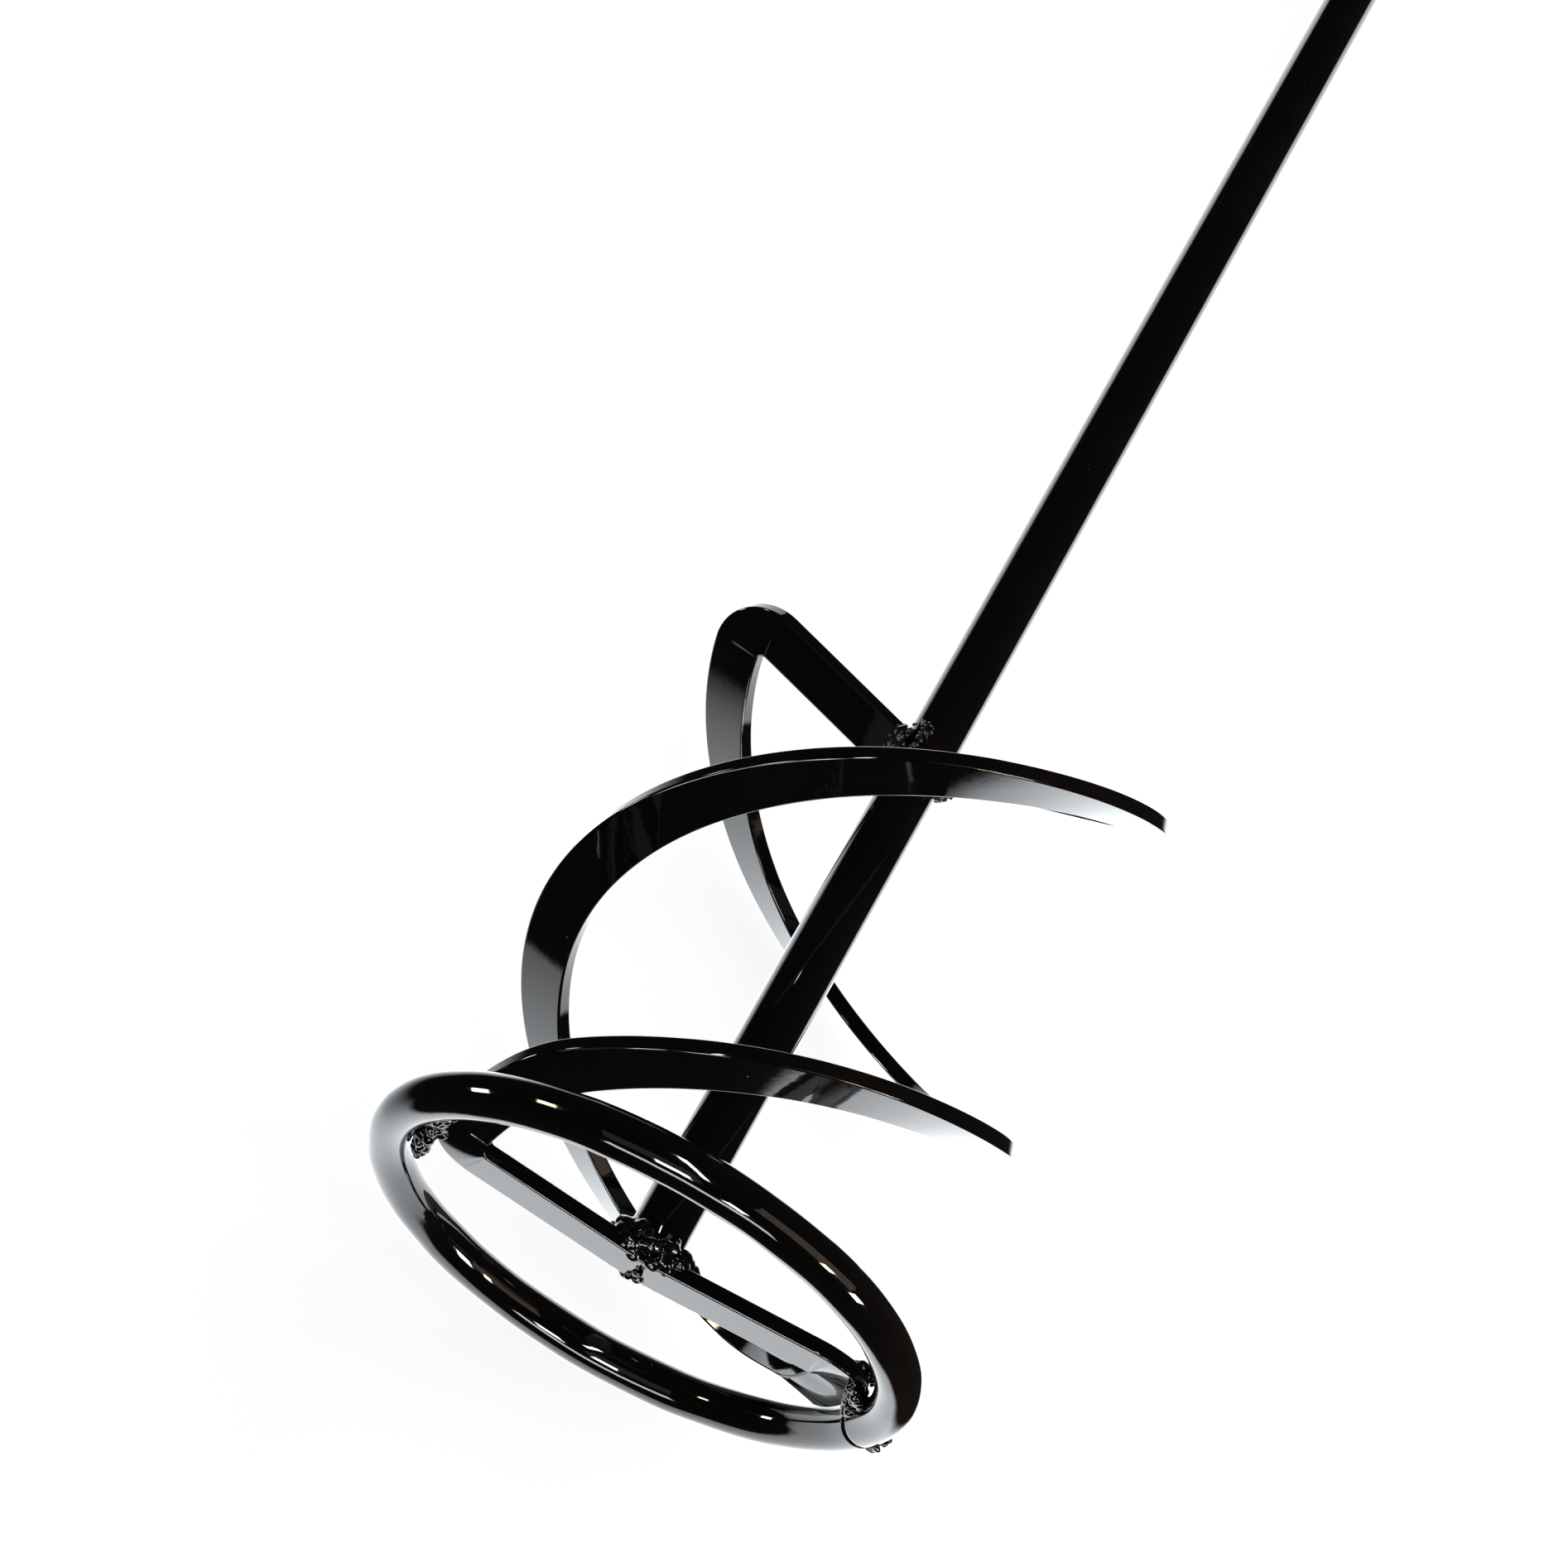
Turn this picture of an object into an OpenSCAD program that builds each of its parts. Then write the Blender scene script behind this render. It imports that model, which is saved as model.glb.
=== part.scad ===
// Mortar mixing paddle: a welded steel stirrer for a hand-held mixing drill.
// A round bar carries two flat helical blades, each almost one full turn long and set
// opposite each other. Their feet stand in a round hoop, which rests on the ground.
// +Z runs up the bar, Z = 0 is the lowest point of the hoop, and -Y is the front.

/* [Shaft] */
// Overall height, from the bottom of the hoop to the end of the thread
total_h = 600; // [420:5:750]
// Diameter of the round bar and of its thread
shaft_d = 14; // [12:0.5:18]
// Length of free thread above the stop nut
thread_len = 22; // [15:1:40]
// Length of the plain groove that ends the thread, just above the nut
relief_len = 3; // [2:0.5:5]
// Depth of that groove below the bar's surface
relief_depth = 1; // [0.5:0.25:1.5]
// Bevel at the end of the thread
thread_bevel = 1.5; // [0.5:0.25:2]

/* [Stop nut] */
// Width across the flats of the nut
nut_flats = 22; // [20:1:30]
// Height of the nut
nut_h = 11; // [7:0.5:16]
// Bevel on the nut's corners
nut_bevel = 1.2; // [0.5:0.1:2]
// Gap between the bar and the bore of the nut, all round
nut_gap = 0.1; // [0.05:0.05:0.3]

/* [Hoop] */
// Outside diameter of the hoop
hoop_d = 140; // [115:1:180]
// Diameter of the hoop's round rod
rod_d = 11; // [8:0.5:16]
// Direction of the hoop's butt joint, turned back from the right-hand side
seam_angle = 15; // [15:1:60]

/* [Blades] */
// Width of the flat bar
bar_w = 13; // [10:0.5:18]
// Thickness of the flat bar
bar_t = 4; // [3:0.25:6]
// Inner radius of the bends at the ends of a blade
bend_r = 1.5; // [1:0.5:5]
// Gap between the foot of a blade and the inside of the hoop
foot_gap = 0.2; // [0.1:0.1:1]
// Height of the lower arms above the middle of the hoop's rod
arm_lift = 1; // [0:0.5:2]
// Swing of blade A's lower arm, forwards along its helix
swing_a = 11; // [0:1:20]
// Swing of blade B's lower arm, backwards along its helix
swing_b = 5; // [0:1:10]
// How far blade B runs below blade A's line as it leaves the hoop
sag_b = 6; // [0:0.5:7]
// How far the helix stays within the outside of the hoop, just above it
inset = 5; // [4:0.5:12]
// How far the helix stays within the outside of the hoop, at its top
top_inset = 8; // [0:0.5:20]
// Rise, beyond the hoop's rod, by which a blade has left the inside of the hoop and widened
widen_clear = 2.5; // [1.5:0.5:12]
// Angle from a blade's foot at which the helix ends
helix_end = 350; // [270:2:380]
// Pitch of the helix at the hoop
pitch_low = 110; // [90:2:160]
// Pitch of the helix in its upper part
pitch_high = 230; // [120:2:280]
// Pitch that it settles to as it meets the upper bend
pitch_end = 196; // [100:2:280]
// Angle over which it settles
settle_angle = 44; // [20:2:90]
// Slope of the blade's width, inner edge down
cone = 13; // [0:1:25]

/* [Welds] */
// Leg of the fillet around the foot of the shaft
foot_weld = 5; // [3:0.5:8]
// Leg of the fillets that hold a blade's foot in the hoop
rim_weld = 3; // [2:0.5:4]
// Length that they run on from the bend at the foot
rim_run = 5.5; // [2:0.5:10]
// Leg of the fillet where an upper arm meets the shaft
arm_weld = 3.5; // [2:0.5:5]
// Leg of the fillet under the stop nut
nut_weld = 3; // [2:0.5:4]
// Height of the bead that closes the hoop
seam_weld = 1.2; // [0.5:0.1:2]
// Width of that bead
seam_weld_w = 6; // [4:0.5:10]

/* [Hidden] */
$fn = 96;
hoop_r = hoop_d / 2 - rod_d / 2;
hoop_z = rod_d / 2;
hoop_inner = hoop_d / 2 - rod_d;
shaft_r = shaft_d / 2;

// The lower arms lie just above the middle plane of the hoop, and the shaft stands on them
arm_z = hoop_z + arm_lift;
arm_top = arm_z + bar_t / 2;
shaft_len = total_h - arm_top;
nut_z = total_h - thread_len - nut_h;

// The bend at the foot turns from the arm to the helix about a point on the helix's start
bend_c = bend_r + bar_w / 2;
foot_c = hoop_inner - foot_gap - bar_w / 2;
foot_turn = asin(bend_c / (foot_c - bend_c));
foot_arm = (foot_c - bend_c) * cos(foot_turn);
foot_angle = 90 + foot_turn;
foot_arc = bend_c * foot_angle * PI / 180;
foot_rise = foot_arc * pitch_low / (2 * PI * foot_c) / 2;
bend_steps = 10;
helix_step = 4;

// Angles over which blade B drops below blade A's line and comes back to it
sag_in = 24;
sag_out = 130;
sag_end = 170;

function ease(x) = x <= 0 ? 0 : x >= 1 ? 1 : x * x * (3 - 2 * x);
function unit(v) = v / norm(v);
function turn(v, a) = [v[0] * cos(a) - v[1] * sin(a), v[0] * sin(a) + v[1] * cos(a), v[2]];

// Helix, by the angle from the blade's foot and its sag: the middle of the bar, and its
// directions. A place is [middle, along the bar, inwards across its width].
function widen(a, sag) =
    ease((height(a, sag) - hoop_z - foot_rise) / (rod_d + widen_clear));
function tilt(a, sag) = cone * widen(a, sag);
function share(a) = (a - foot_turn) / (helix_end - foot_turn);
function outside(a) = hoop_d / 2 - inset - (top_inset - inset) * share(a);
function middle(a, sag) = foot_c * (1 - widen(a, sag))
    + (outside(a) - bar_w / 2 * cos(tilt(a, sag))) * widen(a, sag);
function settled(a) = max(0, a - helix_end + settle_angle);
function sunk(a) = ease(min((a - foot_turn) / sag_in, (sag_end - a) / sag_out));
function height(a, sag) = arm_z + foot_rise - sag * sunk(a)
    + (pitch_low + (pitch_high - pitch_low) * share(a) / 2) * (a - foot_turn) / 360
    - (pitch_high - pitch_end) * pow(settled(a), 2) / settle_angle / 720;
function centre(a, sag) =
    [middle(a, sag) * cos(a), middle(a, sag) * sin(a), height(a, sag)];
function inwards(t, a) = [-cos(t) * cos(a), -cos(t) * sin(a), -sin(t)];
function helix_place(a, sag) = let (
    along = unit(centre(a + 0.5, sag) - centre(a - 0.5, sag)),
    width = inwards(tilt(a, sag), a))
    [centre(a, sag), along, unit(width - (width * along) * along)];

// Bend at the foot, by the share k of its turn: it climbs to the slope of the helix
function foot_place(k) = let (b = k * foot_angle) [
    [foot_arm + bend_c * sin(b), bend_c * (1 - cos(b)), arm_z + k * k * foot_rise],
    unit([cos(b), sin(b), 2 * k * foot_rise / foot_arc]),
    [-sin(b), cos(b), 0]];

// The upper bend turns in the plane of the bar until the arm points at the shaft's axis
helix_last = helix_place(helix_end, 0);
function top_place(b) = [
    helix_last[0] + bend_c * (sin(b) * helix_last[1] + (1 - cos(b)) * helix_last[2]),
    cos(b) * helix_last[1] + sin(b) * helix_last[2],
    cos(b) * helix_last[2] - sin(b) * helix_last[1]];
function miss(b) = let (p = top_place(b)) p[0][0] * p[1][1] - p[0][1] * p[1][0];
function aim(low, high, tries) = let (mid = (low + high) / 2)
    tries == 0 ? mid
    : miss(low) * miss(mid) <= 0 ? aim(low, mid, tries - 1)
    : aim(mid, high, tries - 1);
top_turn = aim(60, 130, 24);
top_bend = top_place(top_turn);
top_reach = (norm([top_bend[0][0], top_bend[0][1]]) - shaft_r)
    / norm([top_bend[1][0], top_bend[1][1]]);
top_end = [top_bend[0] + top_reach * top_bend[1], top_bend[1], top_bend[2]];

// The lower arms meet under the shaft, and their swings open a wedge between them
wedge = swing_a + swing_b;
root_gap = 0.5;
arm_start = root_gap / 2 + bar_w / 2 * tan(wedge / 2);

// A swung foot eases back to the line of the helix over the first third of the blade
function swung(p, swing) = [turn(p[0], swing), turn(p[1], swing), turn(p[2], swing)];
helix_steps = ceil((helix_end - foot_turn) / helix_step);
function blade_places(swing, sag) = concat(
    [swung([[arm_start, 0, arm_z], [1, 0, 0], [0, 1, 0]], swing)],
    [for (i = [0:bend_steps]) swung(foot_place(i / bend_steps), swing)],
    [for (i = [1:helix_steps]) let (
        k = i / helix_steps,
        a = foot_turn + k * (helix_end - foot_turn))
        swung(helix_place(a, sag), swing * (1 - ease(k * 3)))],
    [for (i = [1:bend_steps]) top_place(top_turn * i / bend_steps)],
    [top_end]);

module enamel() { color([0.03, 0.03, 0.035]) children(); }

module shaft() {
    enamel() difference() {
        union() {
            translate([0, 0, arm_top]) cylinder(h = shaft_len - thread_bevel, d = shaft_d);
            translate([0, 0, total_h - thread_bevel])
                cylinder(h = thread_bevel, d1 = shaft_d, d2 = shaft_d - 2 * thread_bevel);
        }
        translate([0, 0, nut_z + nut_h]) rotate_extrude()
            translate([shaft_r - relief_depth, 0]) square([2 * relief_depth, relief_len]);
    }
}

// Hexagon nut, bevelled at both ends
module stop_nut() {
    corner_d = nut_flats / cos(30);
    enamel() translate([0, 0, nut_z]) difference() {
        intersection() {
            cylinder(h = nut_h, d = corner_d, $fn = 6);
            rotate_extrude() polygon([[0, 0], [corner_d / 2 - nut_bevel, 0],
                [corner_d / 2, nut_bevel], [corner_d / 2, nut_h - nut_bevel],
                [corner_d / 2 - nut_bevel, nut_h], [0, nut_h]]);
        }
        translate([0, 0, -1]) cylinder(h = nut_h + 2, r = shaft_r + nut_gap);
    }
}

module hoop() {
    enamel() translate([0, 0, hoop_z]) rotate_extrude($fn = 144)
        translate([hoop_r, 0]) circle(d = rod_d, $fn = 48);
}

// One flat bar, swept with its rectangular section through all of its places
module blade(swing, sag) {
    places = blade_places(swing, sag);
    count = len(places);
    points = [for (p = places, c = [[-1, -1], [1, -1], [1, 1], [-1, 1]])
        p[0] + c[0] * bar_w / 2 * p[2] + c[1] * bar_t / 2 * cross(p[2], p[1])];
    sides = [for (i = [0:count - 2], j = [0:3]) let (
        a = 4 * i + j,
        b = 4 * i + (j + 1) % 4)
        each [[a, b, b + 4], [a, b + 4, a + 4]]];
    ends = [[3, 2, 1, 0], [for (j = [0:3]) 4 * (count - 1) + j]];
    polyhedron(points = points, faces = concat(sides, ends));
}

module blade_a() { enamel() rotate([0, 0, 180]) blade(swing_a, 0); }
module blade_b() { enamel() blade(-swing_b, sag_b); }

// Fills the wedge between the two lower arms, under the shaft
module root_weld() {
    right = [for (s = [-1, 1]) turn([arm_start, s * bar_w / 2, 0], -swing_b)];
    left = [for (s = [-1, 1]) turn([arm_start, s * bar_w / 2, 0], swing_a + 180)];
    enamel() translate([0, 0, arm_z - bar_t / 2]) linear_extrude(bar_t)
        polygon([for (p = concat(right, left)) [p[0], p[1]]]);
}

// Fillet on the arms, round the foot of the shaft
module foot_fillet() {
    enamel() translate([0, 0, arm_top]) intersection() {
        rotate_extrude()
            polygon([[shaft_r, 0], [shaft_r + foot_weld, 0], [shaft_r, foot_weld]]);
        translate([0, 0, foot_weld])
            cube([4 * shaft_d, bar_w, 4 * foot_weld], center = true);
    }
}

// Beads between a blade's foot and the inside of the hoop, one above and one below
weld_steps = 6;
rim_arc = rim_run / foot_c * 180 / PI;
function rim_places(swing, sag) = concat(
    [for (i = [0:weld_steps]) swung(foot_place(0.55 + 0.45 * i / weld_steps), swing)],
    [for (i = [1:weld_steps])
        swung(helix_place(foot_turn + i * rim_arc / weld_steps, sag), swing)]);
module rim_weld(swing, sag) {
    places = rim_places(swing, sag);
    count = len(places);
    for (side = [-1, 1]) {
        points = [for (p = places) let (
            down = side * cross(p[2], p[1]),
            edge = p[0] + bar_t / 2 * down - bar_w / 2 * p[2])
            each [edge - foot_gap * p[2], edge + rim_weld * p[2], edge + rim_weld * down]];
        faces = [for (i = [0:count - 2], j = [0:2]) let (
            a = 3 * i + j,
            b = 3 * i + (j + 1) % 3)
            each [[a, b, b + 3], [a, b + 3, a + 3]]];
        ends = [[2, 1, 0], [for (j = [0:2]) 3 * (count - 1) + j]];
        mirrored = [for (f = concat(faces, ends)) [for (i = [1:len(f)]) f[len(f) - i]]];
        polyhedron(points = points, faces = side > 0 ? concat(faces, ends) : mirrored);
    }
}
module rim_weld_a() { enamel() rotate([0, 0, 180]) rim_weld(swing_a, 0); }
module rim_weld_b() { enamel() rim_weld(-swing_b, sag_b); }

// Collar of weld round the inner end of an upper arm
module arm_weld() {
    along = top_end[1];
    width = top_end[2];
    up = cross(width, along);
    function ring(back, grow) = [for (c = [[-1, -1], [1, -1], [1, 1], [-1, 1]])
        top_end[0] - back * along + c[0] * (bar_w / 2 + grow) * width
            + c[1] * (bar_t / 2 + grow) * up];
    points = concat(ring(-shaft_r / 2, arm_weld), ring(0, arm_weld), ring(arm_weld, 0));
    bar_end = concat(ring(-shaft_r, 0), ring(2 * arm_weld, 0));
    function sides(last) = [for (i = [0:last], j = [0:3])
        [4 * i + j, 4 * i + 4 + j, 4 * i + 4 + (j + 1) % 4, 4 * i + (j + 1) % 4]];
    difference() {
        polyhedron(points = points, faces = concat(sides(1), [[0, 1, 2, 3], [11, 10, 9, 8]]));
        translate([0, 0, arm_top]) cylinder(h = shaft_len, d = shaft_d);
        polyhedron(points = bar_end, faces = concat(sides(0), [[0, 1, 2, 3], [7, 6, 5, 4]]));
    }
}
module arm_weld_a() { enamel() rotate([0, 0, 180]) arm_weld(); }
module arm_weld_b() { enamel() arm_weld(); }

// Bead across the outer half of the hoop's butt joint
module hoop_seam() {
    seam_arc = seam_weld_w / hoop_r * 180 / PI;
    enamel() translate([0, 0, hoop_z]) rotate([0, 0, seam_angle - seam_arc / 2])
        rotate_extrude(angle = seam_arc) difference() {
            translate([hoop_r, 0]) circle(d = rod_d + 2 * seam_weld, $fn = 48);
            translate([hoop_r, 0]) circle(d = rod_d, $fn = 48);
            square([2 * hoop_r, 4 * rod_d], center = true);
            for (s = [-1, 1]) translate([0, s * rod_d * 0.8 - rod_d / 2])
                square([hoop_d, rod_d]);
        }
}

// Fillet under the stop nut
module nut_fillet() {
    enamel() translate([0, 0, nut_z]) rotate_extrude()
        polygon([[shaft_r, 0], [shaft_r, -nut_weld], [shaft_r + nut_weld, 0]]);
}

shaft();
stop_nut();
hoop();
blade_a();
blade_b();
root_weld();
foot_fillet();
rim_weld_a();
rim_weld_b();
arm_weld_a();
arm_weld_b();
hoop_seam();
nut_fillet();
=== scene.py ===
import math

import bmesh
import bpy
from mathutils import Matrix, Quaternion, Vector


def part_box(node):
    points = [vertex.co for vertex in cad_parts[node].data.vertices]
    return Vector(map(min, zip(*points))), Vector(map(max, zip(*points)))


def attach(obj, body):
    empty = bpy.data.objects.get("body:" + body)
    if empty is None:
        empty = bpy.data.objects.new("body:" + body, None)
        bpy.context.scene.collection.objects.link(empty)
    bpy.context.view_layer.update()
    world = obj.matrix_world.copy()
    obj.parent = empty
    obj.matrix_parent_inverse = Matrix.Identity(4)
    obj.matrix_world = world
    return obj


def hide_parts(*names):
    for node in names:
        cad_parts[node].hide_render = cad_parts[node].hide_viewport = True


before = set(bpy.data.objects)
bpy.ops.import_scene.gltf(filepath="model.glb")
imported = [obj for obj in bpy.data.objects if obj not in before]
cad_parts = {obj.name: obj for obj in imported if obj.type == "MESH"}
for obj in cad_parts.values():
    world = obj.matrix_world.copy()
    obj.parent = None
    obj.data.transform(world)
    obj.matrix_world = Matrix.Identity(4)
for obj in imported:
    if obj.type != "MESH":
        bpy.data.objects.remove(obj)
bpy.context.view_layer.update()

mm = 0.001


class Wire:
    # A socket of a node tree. Arithmetic on it adds Math nodes, and make() adds any other node.
    def __init__(self, tree, socket=None):
        self.tree = tree
        self.socket = socket

    def make(self, kind, settings=None, sockets=None, out=0):
        node = self.tree.nodes.new(kind)
        for name, value in (settings or {}).items():
            setattr(node, name, value)
        for name, value in (sockets or {}).items():
            if isinstance(value, Wire):
                self.tree.links.new(value.socket, node.inputs[name])
            else:
                node.inputs[name].default_value = value
        return Wire(self.tree, node.outputs[out])

    def math(self, operation, *values):
        return self.make("ShaderNodeMath", {"operation": operation}, dict(enumerate(values)))

    def vector(self, operation, *values, out=0):
        return self.make("ShaderNodeVectorMath", {"operation": operation}, dict(enumerate(values)), out)

    def __add__(self, other):
        return self.math("ADD", self, other)

    def __radd__(self, other):
        return self.math("ADD", other, self)

    def __sub__(self, other):
        return self.math("SUBTRACT", self, other)

    def __rsub__(self, other):
        return self.math("SUBTRACT", other, self)

    def __mul__(self, other):
        return self.math("MULTIPLY", self, other)

    def __rmul__(self, other):
        return self.math("MULTIPLY", other, self)

    def __truediv__(self, other):
        return self.math("DIVIDE", self, other)

    def __rtruediv__(self, other):
        return self.math("DIVIDE", other, self)

    def absolute(self):
        return self.math("ABSOLUTE", self)

    # 0 below low, 1 above high, and smooth between
    def step(self, low, high):
        sockets = {"Value": self, "From Min": low, "From Max": high}
        return self.make("ShaderNodeMapRange", {"interpolation_type": "SMOOTHSTEP"}, sockets)

    def mixColour(self, first, second):
        return self.make("ShaderNodeMix", {"data_type": "RGBA"}, {0: self, 6: first, 7: second}, 2)


# ---- finishes

enamelLook = {
    "black": (0.0055, 0.006, 0.0066, 1),
    "brownBlack": (0.016, 0.0105, 0.0078, 1),
    "brownShare": 0.8,
    "cloudSize": 45 * mm,
    "cloudEdges": (0.44, 0.70),
    "filmSize": 7 * mm,
    "filmEdges": (0.5, 0.8),
    "roughness": 0.045,
    "haze": 0.05,
    "index": 1.52,
    "peelSize": 2.2 * mm,
    "peelDepth": 0.01 * mm,
    "sagSize": 16 * mm,
    "sagDepth": 0.035 * mm,
    "dust": (0.30, 0.30, 0.29, 1),
    "dustStrength": 0.8,
    "dustRoughness": 0.5,
    "dustHeight": 0.03 * mm,
    "speckSpacing": 4.5 * mm,
    "speckSize": 0.16 * mm,
    "speckShare": 0.16,
    "smallestSpeck": 0.4,
    "speckSpread": 0.9,
    "lumpyRoughness": 0.05,
    "rippleSize": 2.4 * mm,
    "rippleDepth": 0.07 * mm,
}


def newMaterial(name):
    material = bpy.data.materials.new(name)
    material.use_nodes = True
    tree = material.node_tree
    shader = tree.nodes["Principled BSDF"]
    return material, shader, Wire(tree)


def connect(wire, shader, socket):
    wire.tree.links.new(wire.socket, shader.inputs[socket])


def noise(wire, where, size, detail=2, out=0):
    sockets = {"Vector": where, "Scale": 1 / size, "Detail": detail}
    return wire.make("ShaderNodeTexNoise", None, sockets, out)


# Dust that dried into the enamel: a few cells of a fine cell pattern hold one speck each
def specks(wire, where, look):
    spacing = look["speckSpacing"]
    sockets = {"Vector": where, "Scale": 1 / spacing, "Randomness": 1}
    reach = wire.make("ShaderNodeTexVoronoi", {"feature": "F1"}, sockets, 0)
    chance = wire.make("ShaderNodeTexVoronoi", {"feature": "F1"}, sockets, 1)
    chosen = chance.make("ShaderNodeSeparateColor", None, {0: chance}, 0)
    width = chance.make("ShaderNodeSeparateColor", None, {0: chance}, 1)
    edge = look["speckSize"] / spacing * (look["smallestSpeck"] + look["speckSpread"] * width)
    inside = reach.math("LESS_THAN", reach, edge)
    return inside * chosen.math("LESS_THAN", chosen, look["speckShare"])


# lumpy is 1 on weld metal, where the enamel is thicker, duller and full of small ripples
def enamel(name, look, lumpy=0.0):
    material, shader, wire = newMaterial(name)
    where = wire.make("ShaderNodeTexCoord", None, None, 3)
    cloud = noise(wire, where, look["cloudSize"], 3).step(*look["cloudEdges"])
    film = noise(wire, where, look["filmSize"], 4)
    dust = specks(wire, where, look)
    colour = (cloud * look["brownShare"]).mixColour(look["black"], look["brownBlack"])
    colour = (dust * look["dustStrength"]).mixColour(colour, look["dust"])
    connect(colour, shader, "Base Color")
    streak = film.step(*look["filmEdges"]) * cloud
    rough = look["roughness"] + look["lumpyRoughness"] * lumpy
    rough = rough + look["haze"] * streak + look["dustRoughness"] * dust
    connect(rough, shader, "Roughness")
    peel = noise(wire, where, look["peelSize"], 1) * look["peelDepth"]
    sag = noise(wire, where, look["sagSize"], 1) * look["sagDepth"]
    height = peel + sag + dust * look["dustHeight"]
    if lumpy:
        height = height + noise(wire, where, look["rippleSize"], 1) * (look["rippleDepth"] * lumpy)
    bump = wire.make("ShaderNodeBump", None, {"Height": height, "Distance": 1, "Strength": 1})
    connect(bump, shader, "Normal")
    shader.inputs["IOR"].default_value = look["index"]
    return material


blackEnamel = enamel("black_enamel", enamelLook)
weldEnamel = enamel("painted_weld", enamelLook, 1.0)
print("finishes made")


# ---- helpers for pieces

def newTree(name, inputs):
    tree = bpy.data.node_groups.new(name, "GeometryNodeTree")
    tree.interface.new_socket("Geometry", in_out="INPUT", socket_type="NodeSocketGeometry")
    for label in inputs:
        tree.interface.new_socket(label, in_out="INPUT", socket_type="NodeSocketFloat")
    tree.interface.new_socket("Geometry", in_out="OUTPUT", socket_type="NodeSocketGeometry")
    start = tree.nodes.new("NodeGroupInput")
    wires = [Wire(tree, socket) for socket in start.outputs[:1 + len(inputs)]]
    return tree, wires[0], dict(zip(inputs, wires[1:]))


# Ends a tree with Realize Instances, smooth shading and Set Material
def endTree(tree, shape, material):
    whole = shape.make("GeometryNodeRealizeInstances", None, {"Geometry": shape})
    smooth = whole.make("GeometryNodeSetShadeSmooth", None, {"Geometry": whole})
    dressed = smooth.make("GeometryNodeSetMaterial", None, {"Geometry": smooth, "Material": material})
    end = tree.nodes.new("NodeGroupOutput")
    tree.links.new(dressed.socket, end.inputs[0])
    return tree


# Runs a tree on a mesh and gives the result as a new plain object
def grow(name, tree, mesh, sizes):
    holder = bpy.data.objects.new(name + "_holder", mesh)
    bpy.context.scene.collection.objects.link(holder)
    modifier = holder.modifiers.new("tree", "NODES")
    modifier.node_group = tree
    for item in tree.interface.items_tree:
        if item.in_out == "INPUT" and item.name in sizes:
            modifier[item.identifier] = float(sizes[item.name])
    bpy.context.view_layer.update()
    depsgraph = bpy.context.evaluated_depsgraph_get()
    result = bpy.data.meshes.new_from_object(holder.evaluated_get(depsgraph), depsgraph=depsgraph)
    bpy.data.objects.remove(holder)
    result.name = name
    piece = bpy.data.objects.new(name, result)
    bpy.context.scene.collection.objects.link(piece)
    return piece


def hand(piece, slot, *nodes):
    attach(piece, "root")
    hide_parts(*nodes)
    print(piece.name, len(piece.data.polygons), "faces")


# A closed copy of a CAD node, with its loose triangles joined
def mergedCopy(node):
    shape = bmesh.new()
    shape.from_mesh(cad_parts[node].data)
    bmesh.ops.remove_doubles(shape, verts=shape.verts, dist=0.002 * mm)
    mesh = bpy.data.meshes.new(node + "_copy")
    shape.to_mesh(mesh)
    shape.free()
    return mesh


def meshFrom(name, points, faces, edges=()):
    mesh = bpy.data.meshes.new(name)
    mesh.from_pydata([tuple(p) for p in points], list(edges), faces)
    mesh.update()
    return mesh


# A shape turned about Z from (radius, height) pairs, closed to a ring or by poles on the axis
def turned(name, profile, columns, ring=False):
    points = []
    faces = []
    for radius, height in profile:
        for column in range(columns):
            angle = 2 * math.pi * column / columns
            points.append((radius * math.cos(angle), radius * math.sin(angle), height))
    rows = len(profile)
    for row in range(rows if ring else rows - 1):
        above = (row + 1) % rows
        for column in range(columns):
            beside = (column + 1) % columns
            faces.append((row * columns + column, row * columns + beside,
                          above * columns + beside, above * columns + column))
    if not ring:
        for row, flip in ((0, True), (rows - 1, False)):
            pole = len(points)
            points.append((0, 0, profile[row][1]))
            for column in range(columns):
                beside = (column + 1) % columns
                face = (row * columns + column, row * columns + beside, pole)
                faces.append(face[::-1] if flip else face)
    return meshFrom(name, points, faces)


# Angle about Z, distance from Z, height and outward direction of each point of a shape
def polar(wire):
    place = wire.make("GeometryNodeInputPosition")
    flat = place.vector("MULTIPLY", place, (1, 1, 0))
    parts = [place.make("ShaderNodeSeparateXYZ", None, {0: place}, axis) for axis in range(3)]
    angle = parts[0].math("ARCTAN2", parts[1], parts[0])
    outward = flat.vector("NORMALIZE", flat)
    return angle, flat.vector("LENGTH", flat, out=1), parts[2], outward


def shift(shape, direction, amount):
    offset = shape.make("ShaderNodeVectorMath", {"operation": "SCALE"}, {0: direction, "Scale": amount})
    return shape.make("GeometryNodeSetPosition", None, {"Geometry": shape, "Offset": offset})


# ---- hoop: a round rod bent to a ring and butt welded

hoopLow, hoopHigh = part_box("hoop")
seamLow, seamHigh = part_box("hoop_seam")
seamMiddle = (seamLow + seamHigh) / 2
hoopLook = {
    "Rod radius": (hoopHigh.z - hoopLow.z) / 2,
    "Hoop radius": hoopHigh.x - (hoopHigh.z - hoopLow.z) / 2,
    "Height": (hoopHigh.z + hoopLow.z) / 2,
    "Seam angle": math.atan2(seamMiddle.y, seamMiddle.x),
    "Seam depth": 0.75 * mm,
    "Seam width": 0.75 * mm,
    "Seam grain": 1.6 * mm,
    "Seam wander": 0.55 * mm,
    "Wobble": 0.25 * mm,
    "Wobble size": 26 * mm,
}
hoopDetail = {
    "round": 720,
    "section": 40,
    "wobbleEdges": (0.3, 0.7),
}


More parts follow.
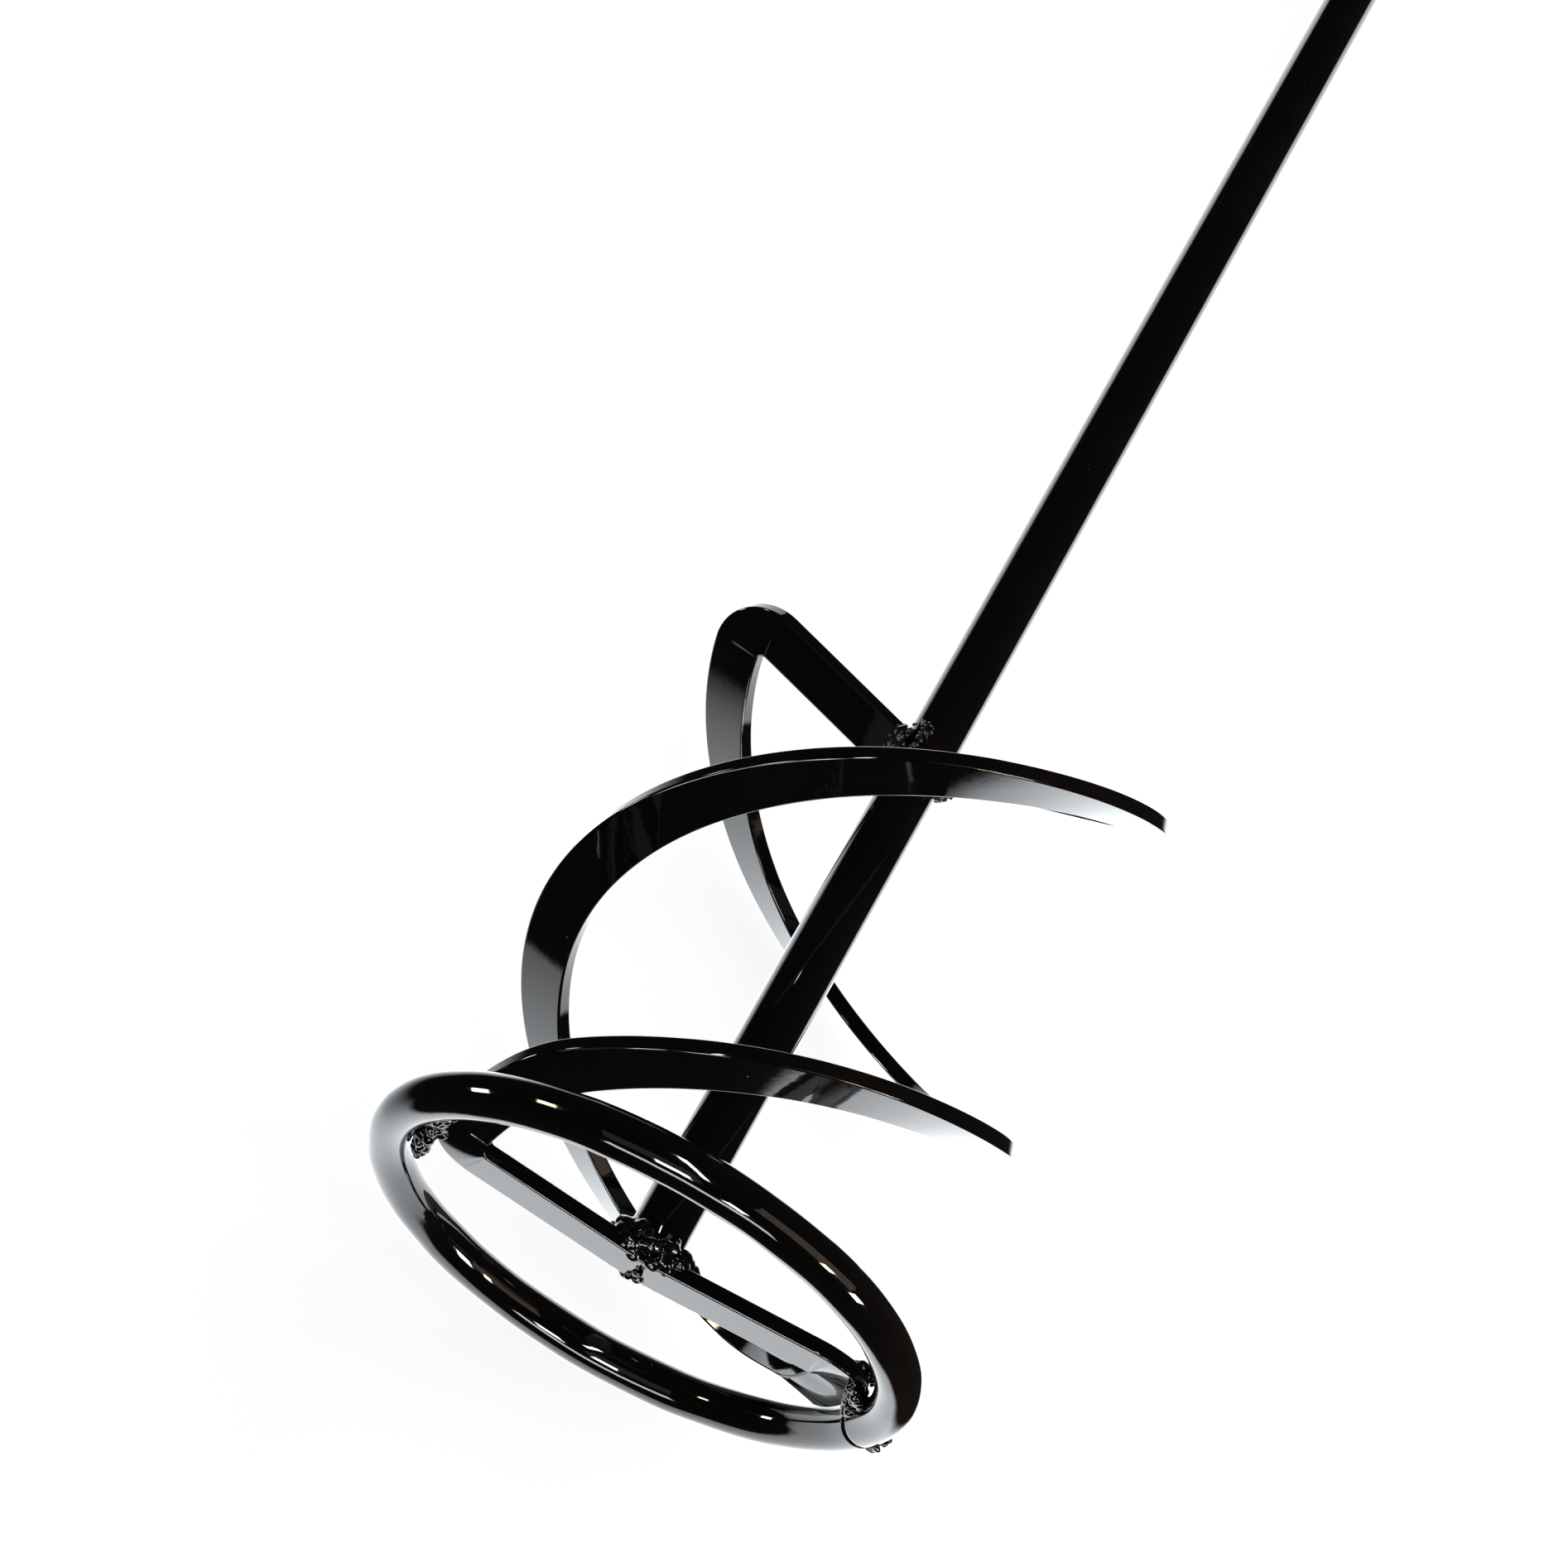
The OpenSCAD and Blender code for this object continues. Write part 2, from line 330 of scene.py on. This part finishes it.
def hoopTree(material):
    tree, _, size = newTree("bentRod", list(hoopLook))
    ring = size["Height"].make("GeometryNodeCurvePrimitiveCircle", {"mode": "RADIUS"},
                               {"Resolution": hoopDetail["round"], "Radius": size["Hoop radius"]})
    section = ring.make("GeometryNodeCurvePrimitiveCircle", {"mode": "RADIUS"},
                        {"Resolution": hoopDetail["section"], "Radius": size["Rod radius"]})
    rod = ring.make("GeometryNodeCurveToMesh", None, {"Curve": ring, "Profile Curve": section})
    normal = rod.make("GeometryNodeInputNormal")
    place = rod.make("GeometryNodeInputPosition")
    angle, _, _, _ = polar(rod)
    away = noise(rod, place, size["Seam grain"], 1) * size["Seam wander"]
    arc = (angle - size["Seam angle"]) * size["Hoop radius"] + away
    groove = (arc / size["Seam width"]).absolute().step(1.0, 0.0)
    bumps = noise(rod, place, size["Wobble size"], 1).step(*hoopDetail["wobbleEdges"]) * size["Wobble"]
    rod = shift(rod, normal, -1 * (groove * size["Seam depth"] + bumps * (1 - groove)))
    lift = rod.make("ShaderNodeCombineXYZ", None, {2: size["Height"]})
    rod = rod.make("GeometryNodeSetPosition", None, {"Geometry": rod, "Offset": lift})
    return endTree(tree, rod, material)


emptyMesh = meshFrom("start", [(0, 0, 0)], [])
hoop = grow("hoop_rod", hoopTree(blackEnamel), emptyMesh, hoopLook)
hand(hoop, "black_enamel", "hoop")


# ---- blades: flat bar, bent on edge at both ends and wound into a helix

barLook = {
    "Corner": 0.55 * mm,
    "Wave": 0.05 * mm,
    "Wave size": 9 * mm,
}
barDetail = {
    "footHeight": 8 * mm,
    "longestStep": 4 * mm,
    "curveSteps": 4,
    "cornerSteps": 4,
    "flatEdge": (0.10, 0.26),
}


# The four corners of each ring of a swept bar, walked from the end that is nearest to Z
def barRings(mesh):
    shape = bmesh.new()
    shape.from_mesh(mesh)
    points = [v.co.copy() for v in shape.verts]
    beside = [[e.other_vert(v).index for e in v.link_edges] for v in shape.verts]
    shape.free()
    low = min(p.z for p in points)
    start = [i for i in range(len(points)) if points[i].z < low + barDetail["footHeight"]]
    start.sort(key=lambda i: points[i].xy.length)
    layer = start[:4]
    seen = set(layer)
    rings = []
    while layer:
        rings.append([points[i] for i in layer])
        layer = sorted({j for i in layer for j in beside[i] if j not in seen})
        seen.update(layer)
    return rings


# Middle, direction across the bar, width and thickness of each ring
def barPath(rings):
    across = None
    path = []
    for ring in rings:
        middle = sum(ring, Vector()) / 4
        arms = [p - middle for p in ring]
        pairs = [(a + b) for i, a in enumerate(arms) for b in arms[i + 1:] if (a + b).length > 1e-4]
        wide = max(pairs, key=lambda v: v.length)
        thick = min(pairs, key=lambda v: v.length)
        if across is not None and wide.dot(across) < 0:
            wide = -wide
        across = wide.normalized()
        path.append((middle, across, wide.length, thick.length))
    return path


# The path with more points where its rings lie far apart
def filled(path):
    result = [path[0]]
    for before, after in zip(path, path[1:]):
        steps = max(1, round((after[0] - before[0]).length / barDetail["longestStep"]))
        for step in range(1, steps + 1):
            part = step / steps
            result.append((before[0].lerp(after[0], part), before[1].lerp(after[1], part)))
    return result


def bladeTree(material):
    tree, line, size = newTree("flatBar", ["Width", "Thickness"] + list(barLook))
    across = line.make("GeometryNodeInputNamedAttribute", {"data_type": "FLOAT_VECTOR"}, {"Name": "across"})
    curve = line.make("GeometryNodeMeshToCurve", None, {"Mesh": line})
    curve = curve.make("GeometryNodeCurveSplineType", {"spline_type": "CATMULL_ROM"}, {"Curve": curve})
    curve = curve.make("GeometryNodeSetSplineResolution", None,
                       {"Geometry": curve, "Resolution": barDetail["curveSteps"]})
    curve = curve.make("GeometryNodeSetCurveNormal", {"mode": "FREE"}, {"Curve": curve, "Normal": across})
    section = curve.make("GeometryNodeCurvePrimitiveQuadrilateral", {"mode": "RECTANGLE"},
                         {"Width": size["Width"], "Height": size["Thickness"]})
    section = section.make("GeometryNodeFilletCurve", {"mode": "POLY"},
                           {"Curve": section, "Radius": size["Corner"], "Count": barDetail["cornerSteps"]})
    bar = curve.make("GeometryNodeCurveToMesh", None,
                     {"Curve": curve, "Profile Curve": section, "Fill Caps": True})
    # The faces stay flat across their width: only the corners are rounded
    bend = bar.make("GeometryNodeInputMeshEdgeAngle")
    least, most = barDetail["flatEdge"]
    rim = bend.math("GREATER_THAN", bend, least) * bend.math("LESS_THAN", bend, most)
    bar = bar.make("GeometryNodeSetShadeSmooth", {"domain": "EDGE"},
                   {"Geometry": bar, "Selection": rim, "Shade Smooth": False})
    normal = bar.make("GeometryNodeInputNormal")
    place = bar.make("GeometryNodeInputPosition")
    wave = noise(bar, place, size["Wave size"], 1)
    bar = shift(bar, normal, -1 * wave * size["Wave"])
    return endTree(tree, bar, material)


flatBar = bladeTree(blackEnamel)


def blade(name, node):
    path = barPath(barRings(mergedCopy(node)))
    line = filled(path)
    links = [(i, i + 1) for i in range(len(line) - 1)]
    mesh = meshFrom(name + "_line", [p[0] for p in line], [], links)
    across = mesh.attributes.new("across", "FLOAT_VECTOR", "POINT")
    across.data.foreach_set("vector", [x for p in line for x in p[1].normalized()])
    width = sorted(p[2] for p in path)[len(path) // 2]
    thickness = sorted(p[3] for p in path)[len(path) // 2]
    print(name, "rings", len(path), "width", round(width, 5), "thickness", round(thickness, 5))
    piece = grow(name, flatBar, mesh, {"Width": width, "Thickness": thickness, **barLook})
    hand(piece, "black_enamel", node)


blade("blade_a_bar", "blade_a")
blade("blade_b_bar", "blade_b")


# ---- shaft: round bar with a cut thread at its top

shaftLow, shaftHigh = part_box("shaft")
nutLow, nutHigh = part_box("stop_nut")
threadLook = {
    "Pitch": 2 * mm,
    "Depth": 1.05 * mm,
    "Start": nutHigh.z + 2.4 * mm,
    "End": shaftHigh.z + 0.2 * mm,
    "Run in": 0.6 * mm,
    "Run out": 0.1 * mm,
    "Crest": 0.08,
    "Root": 0.92,
}
shaftLook = {
    "columns": 72,
    "plainRow": 8 * mm,
    "rowsBelow": 0.2 * mm,
    "threadRow": 0.14 * mm,
    "bevel": 1.4 * mm,
    "edge": 0.3 * mm,
    "relief": 1 * mm,
    "reliefLength": 3 * mm,
}


# Radius and height of each row: few up the plain bar, fine ones from the nut's top to the tip
def shaftProfile(radius, bottom, top, look):
    rows = [(radius - look["edge"], bottom), (radius, bottom + look["edge"])]
    plain = round((nutHigh.z - bottom) / look["plainRow"])
    rows += [(radius, bottom + (nutHigh.z - bottom) * i / plain) for i in range(1, plain)]
    height = nutHigh.z - look["rowsBelow"]
    while height < top:
        deep = look["relief"] if nutHigh.z < height < nutHigh.z + look["reliefLength"] else 0
        bevel = max(0, height - (top - look["bevel"]))
        rows.append((radius - max(deep, bevel), height))
        height += look["threadRow"]
    rows.append((radius - look["bevel"], top))
    return rows


def threadTree(material):
    tree, bar, size = newTree("cutThread", list(threadLook))
    angle, _, height, outward = polar(bar)
    turn = height / size["Pitch"] - angle / (2 * math.pi)
    part = turn.math("FRACT", turn)
    groove = (1 - (part - 0.5).absolute() * 2).step(size["Crest"], size["Root"])
    begun = height.step(size["Start"], size["Start"] + size["Run in"])
    unended = height.step(size["End"], size["End"] - size["Run out"])
    bar = shift(bar, outward, -1 * groove * (begun * unended) * size["Depth"])
    return endTree(tree, bar, material)


shaftRadius = shaftHigh.x
shaftMesh = turned("shaft_turned", shaftProfile(shaftRadius, shaftLow.z, shaftHigh.z, shaftLook),
                   shaftLook["columns"])
shaft = grow("shaft_bar", threadTree(blackEnamel), shaftMesh, threadLook)
hand(shaft, "black_enamel", "shaft")


# ---- stop nut: a hexagon nut, bevelled at both ends

nutLook = {
    "Half flats": nutHigh.y,
    "Softness": 0.25 * mm,
}
nutShape = {
    "columns": 144,
    "bevel": 1.2 * mm,
    "bore": shaftRadius + 0.1 * mm,
    "rim": 0.4 * mm,
    "rows": 10,
    "bevelRows": 6,
}


# Radius and height of each row, from the bore's foot round the outside to the bore's top
def nutProfile(corner, look):
    bevel, bore, steps = look["bevel"], look["bore"], look["bevelRows"]
    rim = bore + look["rim"]
    middle = [nutLow.z + bevel + (nutHigh.z - nutLow.z - 2 * bevel) * i / look["rows"]
              for i in range(look["rows"] + 1)]
    outline = [(bore, nutLow.z), (rim, nutLow.z)]
    slope = [(corner - bevel + bevel * k / steps, bevel * k / steps) for k in range(steps + 1)]
    outline += [(r, nutLow.z + h) for r, h in slope]
    outline += [(corner, z) for z in middle[1:-1]]
    outline += [(r, nutHigh.z - h) for r, h in reversed(slope)]
    outline += [(rim, nutHigh.z), (bore, nutHigh.z)]
    return outline


def nutTree(material):
    tree, shape, size = newTree("hexagon", list(nutLook))
    angle, reach, _, outward = polar(shape)
    sixth = math.pi / 3
    turn = angle / sixth + 6
    part = (turn.math("FRACT", turn) - 0.5) * sixth
    flat = size["Half flats"] / part.math("COSINE", part)
    cut = reach.math("SMOOTH_MIN", reach, flat, size["Softness"])
    shape = shift(shape, outward, cut - reach)
    return endTree(tree, shape, material)


nutMesh = turned("nut_turned", nutProfile(nutHigh.x, nutShape), nutShape["columns"], True)
nut = grow("stop_nut_hexagon", nutTree(blackEnamel), nutMesh, nutLook)
hand(nut, "black_enamel", "stop_nut")


# ---- welds: lumps of metal scattered over each fillet and blurred into one bead

# Cover is the number of lumps on each square millimetre
weldLook = {
    "Lump": 1.55 * mm,
    "Spread": 0.45,
    "Cover": 0.30,
    "Voxel": 0.3 * mm,
    "Ripple": 0.4 * mm,
    "Ripple size": 3.4 * mm,
    "Seed": 3,
}
weldDetail = {
    "threshold": 0.1,
    "blurSteps": 6,
    "spillRounds": 3,
}
weldSites = {
    "root_weld": {"Lump": 1.1 * mm, "Ripple": 0.2 * mm},
    "foot_fillet": {"Lump": 2.1 * mm, "Cover": 0.22},
    "rim_weld_a": {"Lump": 1.4 * mm},
    "rim_weld_b": {"Lump": 1.4 * mm},
    "arm_weld_a": {"Lump": 0.9 * mm},
    "arm_weld_b": {"Lump": 0.9 * mm},
    "hoop_seam": {"Lump": 0.95 * mm, "Cover": 0.7},
    "nut_fillet": {"Lump": 0.9 * mm},
}


def weldTree(material):
    tree, shape, size = newTree("weldMetal", list(weldLook))
    cover = size["Cover"] * (1 / mm ** 2)
    skin = shape.make("GeometryNodeDistributePointsOnFaces", {"distribute_method": "RANDOM"},
                      {"Mesh": shape, "Density": cover, "Seed": size["Seed"]})
    chance = skin.make("FunctionNodeRandomValue", {"data_type": "FLOAT"},
                       {2: 0.0, 3: 1.0, "Seed": size["Seed"]}, 1)
    radius = size["Lump"] * (1 - size["Spread"] * chance)
    blobs = skin.make("GeometryNodePointsToVolume", {"resolution_mode": "VOXEL_SIZE"},
                      {"Points": skin, "Density": 1, "Voxel Size": size["Voxel"], "Radius": radius})
    metal = blobs.make("GeometryNodeVolumeToMesh", {"resolution_mode": "GRID"},
                       {"Volume": blobs, "Threshold": weldDetail["threshold"], "Adaptivity": 0})
    place = metal.make("GeometryNodeInputPosition")
    soft = metal.make("GeometryNodeBlurAttribute", {"data_type": "FLOAT_VECTOR"},
                      {"Value": place, "Iterations": weldDetail["blurSteps"]}, 0)
    metal = metal.make("GeometryNodeSetPosition", None, {"Geometry": metal, "Position": soft})
    normal = metal.make("GeometryNodeInputNormal")
    ripple = noise(metal, place, size["Ripple size"], 1) - 0.5
    metal = shift(metal, normal, ripple * size["Ripple"] * 2)
    return endTree(tree, metal, material)


# Where the welder laid more metal than the fillet needs: middle and half sizes, in millimetres
spills = {
    "foot_fillet": [((0, -6, 8.5), (8.5, 2.2, 3)), ((0, 6, 8.5), (7.5, 2, 3))],
    "rim_weld_a": [((-56.8, -4, 5), (1.4, 8, 2.6))],
    "rim_weld_b": [((56.8, 4, 5), (1.4, 8, 2.6))],
}


def spilled(mesh, lumps):
    shape = bmesh.new()
    shape.from_mesh(mesh)
    for middle, half in lumps:
        place = Matrix.Translation(Vector(middle) * mm) @ Matrix.Diagonal(Vector(half) * mm).to_4x4()
        bmesh.ops.create_icosphere(shape, subdivisions=weldDetail["spillRounds"], radius=1, matrix=place)
    shape.to_mesh(mesh)
    shape.free()
    return mesh


weldMetal = weldTree(weldEnamel)
for order, (node, changes) in enumerate(weldSites.items()):
    mesh = spilled(mergedCopy(node), spills.get(node, []))
    sizes = {**weldLook, **changes, "Seed": weldLook["Seed"] + order}
    bead = grow(node + "_metal", weldMetal, mesh, sizes)
    hand(bead, "painted_weld", node)


# ---- stage: the paddle lies on a pale floor behind it, seen from the hoop's end

stageLook = {
    "floorBack": 80.6 * mm,
    "floorLean": 6.7,
    "floorHalf": 3.0,
    "paperWidth": (-0.145, 0.10),
    "paperLength": (-0.07, 0.76),
    "fade": 0.012,
    "leftFade": 0.085,
    "glow": 0.86,
    "mirrorGlow": 1.7,
    "tone": (0.92, 0.965, 1, 1),
    "paper": 0.85,
    "room": 0.012,
    "aimHeight": 50 * mm,
}


# A pale floor. The enamel mirrors only the part inside paperWidth and paperLength, and past it
# the dark room. Its back is clear.
def stageFloor(look):
    half = look["floorHalf"]
    mesh = meshFrom("floor", [(-half, 0, -half), (half, 0, -half), (half, 0, half), (-half, 0, half)],
                    [(0, 1, 2, 3)])
    mesh.transform(Matrix.Translation((0, look["floorBack"], 0))
                   @ Matrix.Rotation(math.radians(look["floorLean"]), 4, "X"))
    floor = bpy.data.objects.new("floor", mesh)
    bpy.context.scene.collection.objects.link(floor)
    material, shader, wire = newMaterial("pale_floor")
    shader.inputs["Base Color"].default_value = (look["paper"],) * 3 + (1,)
    shader.inputs["Roughness"].default_value = 1
    shader.inputs["Specular IOR Level"].default_value = 0
    gloss = wire.make("ShaderNodeLightPath", None, None, 3)
    connect(gloss.mixColour((1, 1, 1, 1), look["tone"]), shader, "Emission Color")
    connect(gloss * look["mirrorGlow"] + look["glow"], shader, "Emission Strength")
    where = wire.make("ShaderNodeTexCoord", None, None, 3)
    across = where.make("ShaderNodeSeparateXYZ", None, {0: where}, 0)
    along = where.make("ShaderNodeSeparateXYZ", None, {0: where}, 2)
    fade = look["fade"]
    west, east = look["paperWidth"]
    low, high = look["paperLength"]
    leftFade = look["leftFade"]
    sheet = across.step(west - leftFade, west + leftFade) * across.step(east + fade, east - fade)
    sheet = sheet * along.step(low - fade, low + fade) * along.step(high + fade, high - fade)
    back = wire.make("ShaderNodeNewGeometry", None, None, 6)
    gone = 1 - (1 - gloss * (1 - sheet)) * (1 - back)
    clear = wire.make("ShaderNodeBsdfTransparent")
    paper = Wire(wire.tree, shader.outputs[0])
    both = wire.make("ShaderNodeMixShader", None, {0: gone, 1: paper, 2: clear})
    wire.tree.links.new(both.socket, wire.tree.nodes["Material Output"].inputs[0])
    mesh.materials.append(material)


# A lamp shines at the helix from a bearing (degrees from the front towards +X), a rise and a
# distance. Size is in metres and power in watts. A mirrored lamp only makes highlights.
def lamp(name, bearing, rise, far, size, power, tone=(1, 1, 1), roll=0, mirrored=True):
    light = bpy.data.lights.new(name, "AREA")
    light.shape = "RECTANGLE"
    light.size, light.size_y = size
    light.energy = power
    light.color = tone
    lampObject = bpy.data.objects.new(name, light)
    bpy.context.scene.collection.objects.link(lampObject)
    turn, lift = math.radians(bearing), math.radians(rise)
    towards = Vector((math.sin(turn) * math.cos(lift), -math.cos(turn) * math.cos(lift), math.sin(lift)))
    aim = Vector((0, 0, stageLook["aimHeight"]))
    lampObject.location = aim + towards * far
    lampObject.rotation_mode = "QUATERNION"
    lampObject.rotation_quaternion = ((-towards).to_track_quat("-Z", "Y")
                                      @ Quaternion((0, 0, 1), math.radians(roll)))
    lampObject.visible_glossy = mirrored
    lampObject.visible_diffuse = not mirrored


# White to the camera, and dark to every other ray
def darkRoom(strength):
    world = bpy.data.worlds.new("room")
    bpy.context.scene.world = world
    world.use_nodes = True
    wire = Wire(world.node_tree)
    seen = wire.make("ShaderNodeLightPath", None, None, 0)
    bright = seen * (1 - strength) + strength
    background = world.node_tree.nodes["Background"]
    wire.tree.links.new(bright.socket, background.inputs["Strength"])
    background.inputs["Color"].default_value = (1, 1, 1, 1)


stageFloor(stageLook)
darkRoom(stageLook["room"])
warm = (1.0, 0.86, 0.62)
brown = (1.0, 0.74, 0.55)
lamp("overhead", 35, 20, 2.2, (3.2, 3.2), 24, mirrored=False)
lamp("haze", 50, -8, 2.6, (2.0, 1.2), 7, brown)
lamp("haze_low", -20, -40, 2.6, (1.6, 1.0), 2, brown)
lamp("pane_right", 78, -22, 2, (0.26, 0.42), 14)
lamp("pane_right_low", 60, -20, 2, (0.18, 0.34), 8, warm)
lamp("pane_under", 30, -58, 2, (0.3, 0.3), 9)
lamp("pane_foot", -9, -51, 2, (0.34, 0.34), 12)
lamp("under_front", 0, -76, 2, (1.7, 0.3), 17)
lamp("strip", -1, -8, 2, (0.11, 1.2), 18, roll=18)
lamp("pane_left", -56, -4, 2, (0.2, 0.4), 8, warm)
lamp("pane_far_left", -87, -6, 2, (0.24, 0.4), 10)

cameraLook = {
    "back": 708.4 * mm,
    "down": 260.7 * mm,
    "pan": 2.2,
    "tilt": 29.05,
    "roll": 30.31,
    "lens": 76.03,
    "sensor": 36,
}


def makeCamera(look):
    data = bpy.data.cameras.new("camera")
    data.lens = look["lens"]
    data.sensor_width = look["sensor"]
    camera = bpy.data.objects.new("camera", data)
    bpy.context.scene.collection.objects.link(camera)
    pan, tilt = math.radians(look["pan"]), math.radians(look["tilt"])
    forward = Vector((-math.sin(pan) * math.cos(tilt), math.cos(pan) * math.cos(tilt), math.sin(tilt)))
    camera.rotation_mode = "QUATERNION"
    camera.rotation_quaternion = (forward.to_track_quat("-Z", "Y")
                                  @ Quaternion((0, 0, 1), math.radians(look["roll"])))
    camera.location = (0, -look["back"], -look["down"])
    bpy.context.scene.camera = camera


makeCamera(cameraLook)
bpy.context.scene.view_settings.view_transform = "Standard"

print("stage and camera made")
